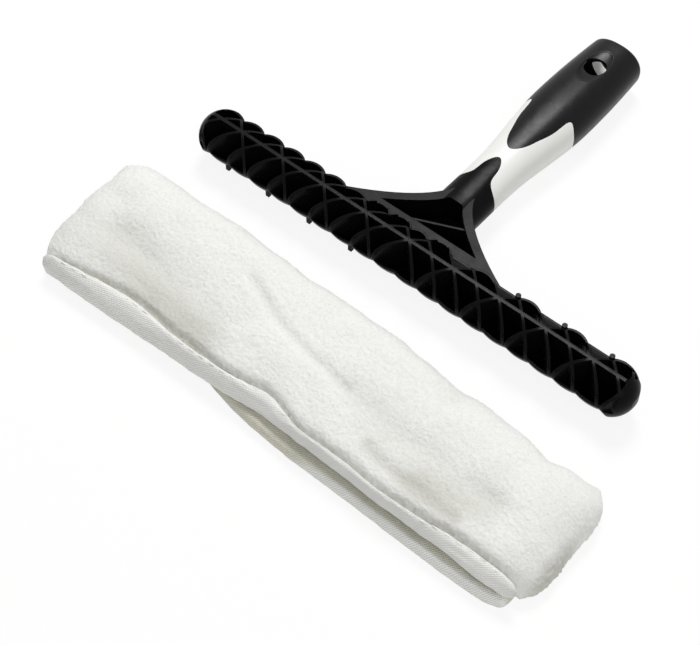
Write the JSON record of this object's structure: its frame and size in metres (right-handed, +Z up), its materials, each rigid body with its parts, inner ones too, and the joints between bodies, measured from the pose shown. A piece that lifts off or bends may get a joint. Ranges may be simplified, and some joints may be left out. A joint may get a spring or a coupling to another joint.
{
  "type": "window scrubber",
  "caption": "Window scrubber: black ribbed T-bar with a soft-grip two-colour handle, and its white plush sleeve with a hook-and-loop mouth taken off and laid beside it.",
  "frame": {"origin": "on the table, at the middle of the whole layout's box", "axes": "+X along the bar, +Y from the sleeve to the handle's end, +Z up from the table"},
  "size_m": [0.284, 0.2782, 0.0256],
  "materials": {
    "bar_black": "satin moulded polypropylene",
    "core_white": "fine satin moulded polypropylene",
    "grip_black": "soft satin thermoplastic rubber",
    "pile_white": "short plush pile",
    "hem_weave": "twill tape",
    "closure_cream": "hook-and-loop tape",
    "thread_white": "sewing thread"
  },
  "bodies": {
    "t_bar": {"lattice_bar": "bar_black", "handle_core": "core_white", "rear_grip": "grip_black"},
    "sleeve": {"pile_cover": "pile_white", "lower_hem": "hem_weave", "loop_tape": "closure_cream", "left_end_seam": "hem_weave", "right_end_seam": "hem_weave", "lower_stitching": "thread_white"},
    "closure_lip": {"lip_pile": "pile_white", "upper_hem": "hem_weave", "hook_tape": "closure_cream", "upper_stitching": "thread_white"}
  },
  "joints": [
    {"name": "sleeve_slide", "type": "slide", "parent": "t_bar", "child": "sleeve", "axis": [0, 1, 0], "range_m": [-0.06, 0.018]},
    {"name": "lip_peel", "type": "hinge", "parent": "sleeve", "child": "closure_lip", "pos_m": [0, -0.1136, 0.0231], "axis": [-1, 0, 0], "range_deg": [0, 35]}
  ]
}
